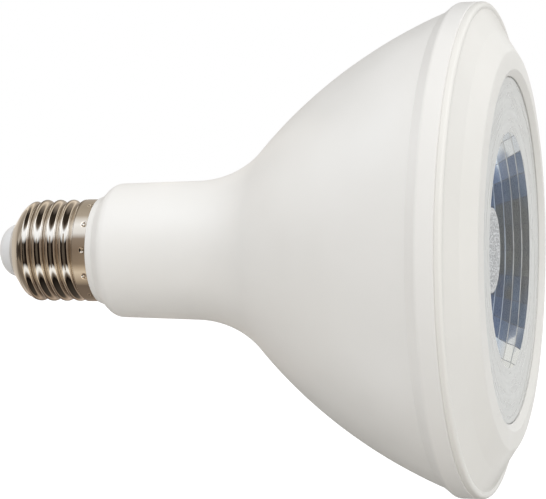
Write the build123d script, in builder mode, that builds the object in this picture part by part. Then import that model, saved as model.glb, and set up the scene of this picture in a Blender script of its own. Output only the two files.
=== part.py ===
from build123d import *
import os
from math import atan2, cos, pi, sin, sqrt, tan

# A spotlight lamp: a screw cap, a flared plastic housing, and a faceted reflector behind a clear lens.
# The lamp's axis is X. The centre contact's end face is at the origin and the light leaves towards +X.
# A turned outline is drawn in the XY plane as (distance along the axis, radius) and revolved about X.
# All sizes are in millimetres.
os.makedirs("parts", exist_ok=True)

# Centre contact and nose
contact_head_d = 3.6
contact_head_height = 0.3
contact_edge_round = 0.15
contact_shank_d = 2.2
contact_shank_length = 9.0
shank_fit = 0.05
nose_length = 4.4
nose_tip_d = 3.9
nose_flange_d = 17.0
nose_flange_height = 2.4
mouth_fit = 0.15

# Screw cap
thread_pitch = 3.629
thread_major_d = 26.3
thread_depth = 1.0
cap_sheet = 0.3
cap_length = 22.9
cap_mouth_d = 14.6
cap_cone_length = 4.4
cap_shoulder_round = 5.5
crest_setback = 5.1
crest_room = 0.05
skirt_step = 0.05
skirt_length = 3.9
skirt_run_in = 0.6
crimp_count = 12
crimp_d = 1.3
crimp_depth = 0.2
crimp_inset = 0.9

# Housing
spigot_fit = 0.25
spigot_setback = 7.6
spigot_wall = 1.2
collar_step = 0.4
collar_rise = 0.7
collar_length = 1.9
collar_edge_round = 0.4
collar_root_round = 2.0
neck_shoulder_length = 2.9
neck_shoulder_round = 3.8
neck_front_d = 35.5
neck_draft = 0.55
neck_length = 21.65
flare_turn_length = 18.8
flare_turn_d = 52.6
flare_length = 47.45
bevel_length = 2.7
bevel_rise = 2.1
bevel_round = 1.5
bevel_root_round = 0.4
seam_chamfer = 0.2
rim_d = 122.0
rim_band = 4.36
rim_wall = 2.2
housing_wall = 2.0

# Front ring
ring_rise = 6.67
bead_r = 1.0
bead_land = 0.9
bead_wrap = 45.0
slope_run = 7.0
slope_break_rise = 4.4
slope_break_round = 6.0
crest_run = 5.2
crest_outer_round = 2.0
crest_width = 4.4
crest_fall = 0.45
crest_inner_round = 0.4
lens_recess = 1.58
lens_chamfer = 1.75
lens_lip = 0.35
ring_wall = 2.2
ring_spigot_length = 5.0
ring_spigot_wall = 1.7
ring_fit = 0.2
ledge_fit = 0.3
rabbet_wall = 1.4

# Front lens
lens_bite = 1.55
lens_thickness = 1.2
lens_edge_chamfer = 0.3
lens_fit = 0.2
lens_gap = 0.15

# Reflector
reflector_depth = 20.9
reflector_mouth_d = 69.0
reflector_throat_fit = 0.6
reflector_wall = 1.6
reflector_flange = 1.5
reflector_rows = 11
reflector_facets = 30

# Collimator lens
collimator_top_d = 21.2
collimator_setback = 4.83
collimator_foot_fit = 0.9
collimator_foot_wall = 1.5
collimator_foot_height = 1.6
collimator_edge_round = 0.5

# Light source on its heat sink
led_board_thickness = 1.6
emitter_d = 16.0
emitter_height = 0.7
emitter_dam = 0.8
emitter_dam_height = 0.25
pad_thickness = 0.3
pad_margin = 1.0
led_screw_count = 3
led_screw_d = 3.0
led_screw_length = 5.5
led_screw_head_d = 5.5
led_screw_head_height = 2.0
led_screw_socket_d = 2.6
led_screw_socket_depth = 1.1
led_screw_clear = 0.47
led_screw_inset = 3.5
led_screw_angle = 90.0
screw_fit = 0.05
sink_floor = 2.5
sink_wall = 1.5
sink_length = 24.0
sink_fit = 0.3

# Driver board and what stands on it
driver_thickness = 1.6
driver_top_z = -2.4
driver_fit = 0.3
driver_back_inset = 3.0
driver_wide_inset = 1.6
driver_front_reach = 15.0
rail_height = 1.8
rail_overlap = 1.2
rail_fit = 0.2
can_d = 10.0
can_length = 16.0
can_x = 1.4
can_y = -6.5
can_groove = 0.5
can_groove_x = 2.5
can_round = 0.8
film_length = 10.0
film_width = 4.6
film_height = 8.4
film_x = 2.4
film_y = 5.4
film_round = 0.6
choke_d = 8.0
choke_height = 9.0
choke_flange = 1.0
choke_waist = 0.6
choke_x = -5.0
choke_y = -2.5
fuse_d = 3.2
fuse_length = 9.0
fuse_cap = 1.6
fuse_waist = 0.25
fuse_x = -10.0
fuse_y = 5.2
core_length = 13.0
core_depth = 6.0
core_height = 11.0
core_leg = 2.4
core_centre_leg = 3.4
core_yoke = 2.2
core_gap = 1.6
coil_fit = 0.15
coil_overhang = 2.6
rectifier_length = 4.8
rectifier_width = 4.0
rectifier_height = 2.4
rectifier_chamfer = 0.3
rectifier_x = 3.0
chip_length = 4.9
chip_width = 3.9
chip_height = 1.5
chip_x = 13.0
chip_leads_a_side = 4
chip_lead_pitch = 1.27
chip_lead_width = 0.42
chip_lead_reach = 1.0
chip_lead_thickness = 0.25
part_gap = 0.1

# Wires
wire_d = 1.3
wire_lift = 0.05
tail_bend = 3.0
tail_landing = 4.7
line_dip = 4.0
neutral_y = 4.5
neutral_gap = 0.4
neutral_drop = 8.0
neutral_run = 6.3
led_wire_y = 9.0
led_wire_tail = 8.0
led_wire_lead = 4.0
led_wire_bend = 8.0
led_wire_hook = 1.5
led_wire_landing = 1.6
led_wire_clear = 2.6
led_wire_straight = 12.0
led_hole_d = 4.0


# Places along the axis, from the contact's end to the crest of the front ring
mouth_x = contact_head_height + nose_length
cap_end_x = mouth_x + cap_length
skirt_x = cap_end_x - skirt_length
spigot_x = mouth_x + spigot_setback
collar_x = cap_end_x + collar_length
neck_back_x = collar_x + neck_shoulder_length
neck_front_x = neck_back_x + neck_length
flare_turn_x = neck_front_x + flare_turn_length
flare_front_x = flare_turn_x + flare_length
rim_x = flare_front_x + bevel_length
seam_x = rim_x + rim_band
lens_face_x = seam_x + ring_rise
lens_back_x = lens_face_x - lens_thickness
reflector_front_x = lens_back_x - lens_gap
led_board_x = reflector_front_x - reflector_depth
sink_face_x = led_board_x - led_board_thickness - pad_thickness
sink_back_x = sink_face_x - sink_length
driver_back_x = spigot_x + driver_back_inset
driver_wide_x = neck_back_x + driver_wide_inset
driver_front_x = neck_front_x + driver_front_reach

# Radii that fits share
thread_mid_r = (thread_major_d - thread_depth) / 2
thread_offset = thread_depth / 2
cap_bore_r = thread_major_d / 2 - thread_depth - cap_sheet - crest_room
skirt_r = thread_major_d / 2 + skirt_step
collar_r = skirt_r + collar_step
spigot_r = cap_bore_r - spigot_fit
spigot_bore_r = spigot_r - spigot_wall
neck_front_r = neck_front_d / 2
neck_back_r = neck_front_r - neck_draft
flare_turn_r = flare_turn_d / 2
rim_r = rim_d / 2
flare_front_r = rim_r - bevel_rise
rim_bore_r = rim_r - rim_wall
lens_opening_r = rim_r - slope_run - crest_run - crest_width - lens_chamfer
lens_r = lens_opening_r + lens_bite
rabbet_r = lens_r + lens_fit
foot_bore_r = emitter_d / 2 + collimator_foot_fit
foot_r = foot_bore_r + collimator_foot_wall
reflector_throat_r = foot_r + reflector_throat_fit
driver_low_z = driver_top_z - driver_thickness


def turned_face(*points):
    """Closes a run of (distance, radius) points into a face of the sketch at work."""
    with BuildLine() as outline:
        Polyline(*points, close=True)
    make_face(outline.edges())


def outline_corner(sketch, point):
    """The sketch vertex that stands at a (distance, radius) point."""
    return sketch.vertices().sort_by_distance(point)[0]


# Screw cap: a round section set off the axis and twisted once a pitch makes the rolled thread
mouth_r = cap_mouth_d / 2
crown_r = thread_major_d / 2 + crest_room
cone_angle = atan2(crown_r - mouth_r, cap_cone_length)
shoulder_x = mouth_x + cap_cone_length + cap_shoulder_round * tan(cone_angle / 2)
shoulder_r = crown_r - cap_shoulder_round
inside_round = cap_shoulder_round - cap_sheet
thread_x = mouth_x + crest_setback - 2 * thread_pitch
thread_run = skirt_x + skirt_run_in - thread_x
with BuildSketch(Plane.YZ.offset(thread_x)) as thread_section:
    with Locations((-thread_offset, 0)):
        Circle(thread_mid_r)
thread = Solid.extrude_linear_with_rotation(
    thread_section.sketch.face(), (thread_x, 0, 0), (thread_run, 0, 0), 360 * thread_run / thread_pitch
)


with BuildPart() as screw_shell:
    with BuildSketch(Plane.XY) as crown_outline:
        corner = (mouth_x + cap_cone_length, crown_r)
        turned_face((mouth_x, 0), (mouth_x, mouth_r), corner, (skirt_x, crown_r), (skirt_x, 0))
        fillet(outline_corner(crown_outline, corner), cap_shoulder_round)
    revolve(axis=Axis.X)
    add(thread, mode=Mode.INTERSECT)
    with BuildSketch(Plane.XY):
        turned_face((skirt_x, 0), (skirt_x, skirt_r), (cap_end_x, skirt_r), (cap_end_x, 0))
    revolve(axis=Axis.X)
    with BuildSketch(Plane.XY):
        lip_r = mouth_r - cap_sheet
        lip_x = mouth_x + cap_sheet * tan(cone_angle / 2)
        cone_end = (shoulder_x - inside_round * sin(cone_angle), shoulder_r + inside_round * cos(cone_angle))
        bend = (shoulder_x - sqrt(inside_round**2 - (cap_bore_r - shoulder_r) ** 2), cap_bore_r)
        with BuildLine():
            RadiusArc(cone_end, bend, inside_round)
            Polyline(
                bend,
                (skirt_x + skirt_run_in, cap_bore_r),
                (skirt_x + 2 * skirt_run_in, skirt_r - cap_sheet),
                (cap_end_x, skirt_r - cap_sheet),
                (cap_end_x, 0),
                (mouth_x, 0),
                (mouth_x, lip_r),
                (lip_x, lip_r),
                cone_end,
            )
        make_face()
    revolve(axis=Axis.X, mode=Mode.SUBTRACT)
    crimp_reach = skirt_r + crimp_d / 2 - crimp_depth
    for i in range(crimp_count):
        turn = 2 * pi * i / crimp_count
        with Locations((cap_end_x - crimp_inset, -crimp_reach * cos(turn), crimp_reach * sin(turn))):
            Sphere(crimp_d / 2, mode=Mode.SUBTRACT)
screw_shell.part.label = "screw_shell"
export_step(screw_shell.part, "parts/screw_shell.step")


# Nose: a rounded insulator that fills the cap's mouth, with a flange behind the rolled edge
with BuildPart() as base_insulator:
    with BuildSketch(Plane.XY):
        nose_r = cap_mouth_d / 2 - mouth_fit - cap_sheet
        flange_x = mouth_x + cap_sheet + mouth_fit
        with BuildLine():
            EllipticalCenterArc(
                (mouth_x, nose_tip_d / 2),
                nose_length,
                nose_r - nose_tip_d / 2,
                start_angle=90,
                arc_size=90,
            )
            Polyline(
                (contact_head_height, nose_tip_d / 2),
                (contact_head_height, contact_shank_d / 2 + shank_fit),
                (flange_x + nose_flange_height, contact_shank_d / 2 + shank_fit),
                (flange_x + nose_flange_height, nose_flange_d / 2),
                (flange_x + nose_flange_height / 2, nose_flange_d / 2),
                (flange_x, nose_r),
                (mouth_x, nose_r),
            )
        make_face()
    revolve(axis=Axis.X)
base_insulator.part.label = "base_insulator"
export_step(base_insulator.part, "parts/base_insulator.step")


# Contact: a flat-headed nail pressed into the nose
with BuildPart() as centre_contact:
    with BuildSketch(Plane.YZ):
        Circle(contact_head_d / 2)
    extrude(amount=contact_head_height)
    fillet(centre_contact.edges().group_by(Axis.X)[0], contact_edge_round)
    with BuildSketch(Plane.YZ.offset(contact_head_height)):
        Circle(contact_shank_d / 2)
    extrude(amount=contact_shank_length)
centre_contact.part.label = "centre_contact"
export_step(centre_contact.part, "parts/centre_contact.step")


# Housing: neck and flare are a straight line and two arcs that run into each other
neck_angle = atan2(neck_draft, neck_length)
turn_angle = 2 * atan2(flare_turn_r - neck_front_r, flare_turn_length) - neck_angle
front_angle = 2 * atan2(flare_front_r - flare_turn_r, flare_length) - turn_angle


def inside(x, radius, angle, depth):
    """A point of the outline with that slope angle, moved in by depth square to the face."""
    return (x + depth * sin(angle), radius - depth * cos(angle))


def flare_points(depth):
    """Neck back, neck front, turn and front points of the outline at that depth."""
    return (
        inside(neck_back_x, neck_back_r, neck_angle, depth),
        inside(neck_front_x, neck_front_r, neck_angle, depth),
        inside(flare_turn_x, flare_turn_r, turn_angle, depth),
        inside(flare_front_x, flare_front_r, front_angle, depth),
    )


def flare_lines(depth):
    """Draws the neck line, the hollow arc and the crowned arc at that depth."""
    back, front, turn, end = flare_points(depth)
    Line(back, front)
    TangentArc(front, turn, tangent=(cos(neck_angle), sin(neck_angle)))
    TangentArc(turn, end, tangent=(cos(turn_angle), sin(turn_angle)))
    return back, end


def flare_face(depth, low_x, high_x):
    """The space that the flare encloses at that depth, between two planes square to the axis."""
    with BuildLine() as outline:
        back, end = flare_lines(depth)
        Polyline(end, (end[0], 0), (back[0], 0), back)
    make_face(outline.edges())
    with Locations(((low_x + high_x) / 2, rim_r / 2)):
        Rectangle(high_x - low_x, rim_r, mode=Mode.INTERSECT)


ledge_x = seam_x - ring_spigot_length - ledge_fit
with BuildPart() as housing:
    with BuildSketch(Plane.XY) as housing_outline:
        collar_front = (collar_x, collar_r + collar_rise)
        with BuildLine():
            back, end = flare_lines(0.0)
            Polyline(
                end,
                (rim_x, rim_r),
                (seam_x, rim_r),
                (seam_x, 0),
                (spigot_x, 0),
                (spigot_x, spigot_r),
                (cap_end_x, spigot_r),
                (cap_end_x, collar_r),
                collar_front,
                back,
            )
        make_face()
        fillet(outline_corner(housing_outline, (rim_x, rim_r)), bevel_round)
        fillet(outline_corner(housing_outline, end), bevel_root_round)
        chamfer(outline_corner(housing_outline, (seam_x, rim_r)), seam_chamfer)
        fillet(outline_corner(housing_outline, (cap_end_x, collar_r)), collar_edge_round)
        fillet(outline_corner(housing_outline, collar_front), collar_root_round)
        fillet(outline_corner(housing_outline, back), neck_shoulder_round)
    revolve(axis=Axis.X)
    with BuildSketch(Plane.XY):
        with BuildLine():
            back, end = flare_lines(housing_wall)
            Polyline(
                end,
                (ledge_x, end[1]),
                (ledge_x, rim_bore_r),
                (seam_x, rim_bore_r),
                (seam_x, 0),
                (spigot_x, 0),
                (spigot_x, spigot_bore_r),
                (collar_x, spigot_bore_r),
                back,
            )
        make_face()
    revolve(axis=Axis.X, mode=Mode.SUBTRACT)
    # two rails in the neck carry the driver board's long edges
    neck_bore_r = neck_back_r - housing_wall
    rail_low_z = driver_low_z - rail_fit - rail_height
    driver_half_width = sqrt(neck_bore_r**2 - driver_low_z**2) - driver_fit
    rail_in = driver_half_width - rail_overlap
    rail_out = neck_bore_r + housing_wall / 2
    rail_reach = sqrt(rail_out**2 - rail_low_z**2)
    for side in (-1, 1):
        with BuildSketch(Plane.YZ.offset(driver_wide_x)):
            with BuildLine():
                Polyline(
                    (side * rail_in, rail_low_z),
                    (side * rail_in, rail_low_z + rail_height),
                    (side * rail_reach, rail_low_z + rail_height),
                    (side * rail_reach, rail_low_z),
                    close=True,
                )
            make_face()
        extrude(amount=neck_front_x - driver_wide_x)
housing.part.label = "housing"
export_step(housing.part, "parts/housing.step")


# Front ring: a rounded lip, a two-step slope, a flat crest and a chamfer down to the lens
with BuildPart() as front_ring:
    with BuildSketch(Plane.XY) as ring_outline:
        bead_centre = (seam_x + bead_land, rim_r - bead_r)
        slope_break = (seam_x + slope_break_rise, rim_r - slope_run)
        crest_inner = (lens_face_x + lens_recess, lens_opening_r + lens_chamfer)
        crest_outer = (crest_inner[0] - crest_fall, crest_inner[1] + crest_width)
        spigot_out_r = rim_bore_r - ring_fit
        spigot_in_r = spigot_out_r - ring_spigot_wall
        spigot_end_x = seam_x - ring_spigot_length
        rabbet_x = reflector_front_x - reflector_flange - ledge_fit
        with BuildLine():
            bead = CenterArc(bead_centre, bead_r, 90, -90 - bead_wrap)
            Polyline(
                bead @ 1,
                slope_break,
                crest_outer,
                crest_inner,
                (lens_face_x + lens_lip, lens_opening_r),
                (lens_face_x, lens_opening_r),
                (lens_face_x, rabbet_r),
                (rabbet_x, rabbet_r),
                (rabbet_x, rabbet_r + rabbet_wall),
                (crest_outer[0] - ring_wall, rabbet_r + rabbet_wall),
                (crest_outer[0] - ring_wall, crest_outer[1] - ring_wall / 2),
                (slope_break[0] - ring_wall, slope_break[1] - ring_wall / 2),
                (seam_x, spigot_in_r),
                (spigot_end_x, spigot_in_r),
                (spigot_end_x, spigot_out_r),
                (seam_x, spigot_out_r),
                (seam_x, rim_r),
                bead @ 0,
            )
        make_face()
        chamfer(outline_corner(ring_outline, (seam_x, rim_r)), seam_chamfer)
        fillet(outline_corner(ring_outline, slope_break), slope_break_round)
        fillet(outline_corner(ring_outline, crest_outer), crest_outer_round)
        fillet(outline_corner(ring_outline, crest_inner), crest_inner_round)
    revolve(axis=Axis.X)
front_ring.part.label = "front_ring"
export_step(front_ring.part, "parts/front_ring.step")


# Front lens: a flat clear disc held in the ring's rabbet
with BuildPart() as front_lens:
    with BuildSketch(Plane.YZ.offset(lens_back_x)):
        Circle(lens_r)
    extrude(amount=lens_thickness)
    chamfer(front_lens.edges(), lens_edge_chamfer)
front_lens.part.label = "front_lens"
export_step(front_lens.part, "parts/front_lens.step")


# Reflector: a parabola cut into rows of flat facets, on a flange behind the lens
focal_length = ((reflector_mouth_d / 2) ** 2 - reflector_throat_r**2) / (4 * reflector_depth)
throat_rise = reflector_throat_r**2 / (4 * focal_length)
row_height = reflector_depth / reflector_rows


def bowl_r(height):
    """Radius of the parabola at a height over the light source board."""
    return sqrt(4 * focal_length * (throat_rise + height))


with BuildPart() as reflector:
    for row in range(reflector_rows + 1):
        with BuildSketch(Plane.YZ.offset(led_board_x + row * row_height)):
            RegularPolygon(bowl_r(row * row_height) + reflector_wall, reflector_facets)
    loft(ruled=True)
    with BuildSketch(Plane.YZ.offset(reflector_front_x)):
        Circle(lens_r)
    extrude(amount=-reflector_flange)
    for row in range(reflector_rows + 1):
        with BuildSketch(Plane.YZ.offset(led_board_x + row * row_height)):
            RegularPolygon(bowl_r(row * row_height), reflector_facets)
    loft(ruled=True, mode=Mode.SUBTRACT)
reflector.part.label = "reflector"
export_step(reflector.part, "parts/reflector.step")


# Collimator: a clear cone over the light source, on a foot ring that stands on the board
with BuildPart() as collimator_lens:
    top_x = lens_face_x - collimator_setback
    foot_x = led_board_x + collimator_foot_height
    with BuildSketch(Plane.XY) as collimator_outline:
        turned_face(
            (led_board_x, foot_r),
            (foot_x, foot_r),
            (top_x, collimator_top_d / 2),
            (top_x, 0),
            (foot_x, 0),
            (foot_x, foot_bore_r),
            (led_board_x, foot_bore_r),
        )
        fillet(outline_corner(collimator_outline, (top_x, collimator_top_d / 2)), collimator_edge_round)
    revolve(axis=Axis.X)
collimator_lens.part.label = "collimator_lens"
export_step(collimator_lens.part, "parts/collimator_lens.step")


# Heat sink: a cup whose wall follows the flare and whose floor carries the light source
# the screw heads clear the reflector's back, and the board reaches past the screws
led_screw_circle_r = bowl_r(led_screw_head_height) + reflector_wall + led_screw_clear + led_screw_head_d / 2
led_board_r = led_screw_circle_r + led_screw_inset
led_screw_places = PolarLocations(
    led_screw_circle_r, led_screw_count, start_angle=led_screw_angle
).local_locations
led_hole_z = -sqrt((led_board_r + led_wire_clear + led_hole_d / 2) ** 2 - led_wire_y**2)
led_hole_places = [(-led_wire_y, led_hole_z), (led_wire_y, led_hole_z)]

with BuildPart() as heat_sink:
    with BuildSketch(Plane.XY):
        flare_face(housing_wall + sink_fit, sink_back_x, sink_face_x)
    revolve(axis=Axis.X)
    with BuildSketch(Plane.XY):
        flare_face(housing_wall + sink_fit + sink_wall, sink_back_x, sink_face_x - sink_floor)
    revolve(axis=Axis.X, mode=Mode.SUBTRACT)
    with BuildSketch(Plane.YZ.offset(sink_face_x)):
        with Locations(*led_screw_places):
            Circle(led_screw_d / 2 + screw_fit)
        with Locations(*led_hole_places):
            Circle(led_hole_d / 2)
    extrude(amount=-sink_length, mode=Mode.SUBTRACT)
heat_sink.part.label = "heat_sink"
export_step(heat_sink.part, "parts/heat_sink.step")


# Thermal pad and light source board, drilled for the screws
def drilled_disc(x, radius, thickness):
    """A disc on the axis with the screw holes through it, growing towards +X."""
    with BuildSketch(Plane.YZ.offset(x)) as disc:
        Circle(radius)
        with Locations(*led_screw_places):
            Circle(led_screw_d / 2 + screw_fit, mode=Mode.SUBTRACT)
    extrude(disc.sketch, amount=thickness)


with BuildPart() as thermal_pad:
    drilled_disc(sink_face_x, led_board_r - pad_margin, pad_thickness)
thermal_pad.part.label = "thermal_pad"
export_step(thermal_pad.part, "parts/thermal_pad.step")

with BuildPart() as led_board:
    drilled_disc(sink_face_x + pad_thickness, led_board_r, led_board_thickness)
led_board.part.label = "led_board"
export_step(led_board.part, "parts/led_board.step")

# Emitter: a phosphor disc inside a raised dam
with BuildPart() as led_emitter:
    with BuildSketch(Plane.YZ.offset(led_board_x)):
        Circle(emitter_d / 2)
    extrude(amount=emitter_height)
    with BuildSketch(Plane.YZ.offset(led_board_x + emitter_height)):
        Circle(emitter_d / 2 - emitter_dam)
    extrude(amount=-emitter_dam_height, mode=Mode.SUBTRACT)
led_emitter.part.label = "led_emitter"
export_step(led_emitter.part, "parts/led_emitter.step")

# Screws: pan heads on the board, shanks through the pad into the heat sink's floor
with BuildPart() as led_screws:
    with BuildSketch(Plane.YZ.offset(led_board_x)):
        with Locations(*led_screw_places):
            Circle(led_screw_head_d / 2)
    extrude(amount=led_screw_head_height)
    with BuildSketch(Plane.YZ.offset(led_board_x)):
        with Locations(*led_screw_places):
            Circle(led_screw_d / 2)
    extrude(amount=-led_screw_length)
    with BuildSketch(Plane.YZ.offset(led_board_x + led_screw_head_height)):
        with Locations(*led_screw_places):
            RegularPolygon(led_screw_socket_d / 2, 6)
    extrude(amount=-led_screw_socket_depth, mode=Mode.SUBTRACT)
led_screws.part.label = "led_screws"
export_step(led_screws.part, "parts/led_screws.step")


# Driver board: a narrow tongue in the spigot and a wide end in the neck
tongue_half_width = sqrt(spigot_bore_r**2 - driver_low_z**2) - driver_fit
with BuildPart() as driver_board:
    with BuildSketch(Plane.XY.offset(driver_low_z)):
        with Locations(((driver_back_x + driver_wide_x) / 2, 0)):
            Rectangle(driver_wide_x - driver_back_x, 2 * tongue_half_width)
        with Locations(((driver_wide_x + driver_front_x) / 2, 0)):
            Rectangle(driver_front_x - driver_wide_x, 2 * driver_half_width)
    extrude(amount=driver_thickness)
driver_board.part.label = "driver_board"
export_step(driver_board.part, "parts/driver_board.step")

# Electrolytic capacitor: a can lying along the board, with a rolled groove near its bung
with BuildPart() as electrolytic_capacitor:
    can_plane = Plane((driver_wide_x + can_x, can_y, driver_top_z + part_gap + can_d / 2))
    with BuildSketch(can_plane) as can_outline:
        turned_face(
            (0, 0),
            (0, can_d / 2),
            (can_groove_x - can_groove, can_d / 2),
            (can_groove_x, can_d / 2 - can_groove),
            (can_groove_x + can_groove, can_d / 2),
            (can_length, can_d / 2),
            (can_length, 0),
        )
        fillet(outline_corner(can_outline, can_plane.from_local_coords((can_length, can_d / 2))), can_round)
    revolve(axis=Axis(can_plane.origin, (1, 0, 0)))
electrolytic_capacitor.part.label = "electrolytic_capacitor"
export_step(electrolytic_capacitor.part, "parts/electrolytic_capacitor.step")

# Film capacitor: a dipped box standing on the board
with BuildPart() as film_capacitor:
    with BuildSketch(Plane.XY.offset(driver_top_z)):
        with Locations((driver_wide_x + film_x + film_length / 2, film_y)):
            RectangleRounded(film_length, film_width, film_round)
    extrude(amount=film_height)
    fillet(film_capacitor.edges().group_by(Axis.Z)[-1], film_round / 2)
film_capacitor.part.label = "film_capacitor"
export_step(film_capacitor.part, "parts/film_capacitor.step")

# Choke: a drum with two flanges and a wound waist, upright on the tongue
with BuildPart() as choke:
    choke_axis = (driver_wide_x + choke_x, choke_y)
    with BuildSketch(Plane.XY.offset(driver_top_z)):
        with Locations(choke_axis):
            Circle(choke_d / 2)
    extrude(amount=choke_flange)
    with BuildSketch(Plane.XY.offset(driver_top_z + choke_flange)):
        with Locations(choke_axis):
            Circle(choke_d / 2 - choke_waist)
    extrude(amount=choke_height - 2 * choke_flange)
    with BuildSketch(Plane.XY.offset(driver_top_z + choke_height - choke_flange)):
        with Locations(choke_axis):
            Circle(choke_d / 2)
    extrude(amount=choke_flange)
choke.part.label = "choke"
export_step(choke.part, "parts/choke.step")

# Fuse resistor: a small barrel with fatter end caps
with BuildPart() as fuse_resistor:
    fuse_plane = Plane((driver_wide_x + fuse_x, fuse_y, driver_top_z + part_gap + fuse_d / 2))
    with BuildSketch(fuse_plane):
        turned_face(
            (0, 0),
            (0, fuse_d / 2),
            (fuse_cap, fuse_d / 2),
            (fuse_cap + fuse_waist, fuse_d / 2 - fuse_waist),
            (fuse_length - fuse_cap - fuse_waist, fuse_d / 2 - fuse_waist),
            (fuse_length - fuse_cap, fuse_d / 2),
            (fuse_length, fuse_d / 2),
            (fuse_length, 0),
        )
    revolve(axis=Axis(fuse_plane.origin, (1, 0, 0)))
fuse_resistor.part.label = "fuse_resistor"
export_step(fuse_resistor.part, "parts/fuse_resistor.step")

# Transformer: a ferrite core with two windows, and a coil round its middle leg
core_x = driver_wide_x + can_x + can_length + core_gap
core_centre = (core_x + core_length / 2, driver_top_z + core_height / 2)
window_width = (core_length - 2 * core_leg - core_centre_leg) / 2
window_height = core_height - 2 * core_yoke
window_shift = (core_centre_leg + window_width) / 2
with BuildPart() as transformer_core:
    with BuildSketch(Plane.XZ):
        with Locations(core_centre):
            Rectangle(core_length, core_height)
        with Locations(
            (core_centre[0] - window_shift, core_centre[1]),
            (core_centre[0] + window_shift, core_centre[1]),
        ):
            Rectangle(window_width, window_height, mode=Mode.SUBTRACT)
    extrude(amount=core_depth / 2, both=True)
transformer_core.part.label = "transformer_core"
export_step(transformer_core.part, "parts/transformer_core.step")

with BuildPart() as transformer_winding:
    coil_low_z = core_centre[1] - window_height / 2 + coil_fit
    with BuildSketch(Plane.XY.offset(coil_low_z)):
        with Locations((core_centre[0], 0)):
            coil_length = core_centre_leg + 2 * (window_width - coil_fit)
            RectangleRounded(coil_length, core_depth + 2 * coil_overhang, window_width / 2)
            Rectangle(core_centre_leg + 2 * coil_fit, core_depth + 2 * coil_fit, mode=Mode.SUBTRACT)
    extrude(amount=window_height - 2 * coil_fit)
transformer_winding.part.label = "transformer_winding"
export_step(transformer_winding.part, "parts/transformer_winding.step")

# Bridge rectifier and driver chip, under the board
with BuildPart() as bridge_rectifier:
    with BuildSketch(Plane.XY.offset(driver_low_z)):
        with Locations((driver_wide_x + rectifier_x + rectifier_length / 2, 0)):
            Rectangle(rectifier_length, rectifier_width)
    extrude(amount=-rectifier_height)
    chamfer(bridge_rectifier.edges().group_by(Axis.Z)[0], rectifier_chamfer)
bridge_rectifier.part.label = "bridge_rectifier"
export_step(bridge_rectifier.part, "parts/bridge_rectifier.step")

with BuildPart() as driver_chip:
    chip_middle = driver_wide_x + chip_x + chip_length / 2
    with BuildSketch(Plane.XY.offset(driver_low_z)):
        with Locations((chip_middle, 0)):
            Rectangle(chip_length, chip_width)
    extrude(amount=-chip_height)
    with BuildSketch(Plane.XY.offset(driver_low_z)):
        with Locations((chip_middle, 0)):
            with GridLocations(chip_lead_pitch, 0, chip_leads_a_side, 1):
                Rectangle(chip_lead_width, chip_width + 2 * chip_lead_reach)
    extrude(amount=-chip_lead_thickness)
driver_chip.part.label = "driver_chip"
export_step(driver_chip.part, "parts/driver_chip.step")


# Wires: straight runs joined by arcs, swept with a round section
def wire(bends, *points):
    """Sweeps the wire's section along the points, with a bend radius for each corner."""
    with BuildLine() as route:
        FilletPolyline(*points, radius=bends)
    path = route.wires()[0]
    with BuildSketch(Plane(origin=path @ 0, z_dir=path % 0)) as section:
        Circle(wire_d / 2)
    sweep(section.sketch, path=path)


landing_z = driver_top_z + wire_lift + wire_d / 2
landing_x = driver_back_x + tail_landing
contact_end_x = contact_head_height + contact_shank_length
with BuildPart() as line_wire:
    wire(
        [tail_bend, tail_bend],
        (contact_end_x, 0, 0),
        (contact_end_x + line_dip, 0, 0),
        (landing_x - tail_bend, 0, landing_z),
        (landing_x, 0, landing_z),
    )
line_wire.part.label = "line_wire"
export_step(line_wire.part, "parts/line_wire.step")

with BuildPart() as neutral_wire:
    neutral_x = spigot_x - wire_d / 2 - spigot_wall
    neutral_top_z = sqrt((cap_bore_r - neutral_gap) ** 2 - (neutral_y + wire_d / 2) ** 2)
    wire(
        [tail_bend, tail_bend],
        (neutral_x, neutral_y, neutral_top_z),
        (neutral_x, neutral_y, neutral_top_z - neutral_drop),
        (neutral_x + neutral_run, neutral_y, landing_z),
        (landing_x, neutral_y, landing_z),
    )
neutral_wire.part.label = "neutral_wire"
export_step(neutral_wire.part, "parts/neutral_wire.step")


def led_wire(side):
    """One lead from the driver board through the heat sink's floor to the light source board."""
    y = side * led_wire_y
    board_face_x = led_board_x + wire_lift + wire_d / 2
    pad_z = -sqrt((led_board_r - led_wire_landing) ** 2 - led_wire_y**2)
    wire(
        [led_wire_bend, led_wire_bend, led_wire_hook],
        (driver_front_x - led_wire_tail, y, landing_z),
        (driver_front_x + led_wire_lead, y, landing_z),
        (sink_face_x - led_wire_straight, y, led_hole_z),
        (board_face_x, y, led_hole_z),
        (board_face_x, y, pad_z),
    )


with BuildPart() as led_wire_positive:
    led_wire(1)
led_wire_positive.part.label = "led_wire_positive"
export_step(led_wire_positive.part, "parts/led_wire_positive.step")

with BuildPart() as led_wire_negative:
    led_wire(-1)
led_wire_negative.part.label = "led_wire_negative"
export_step(led_wire_negative.part, "parts/led_wire_negative.step")
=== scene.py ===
from math import acos, atan2, cos, pi, radians, sin, sqrt, tan

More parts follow.
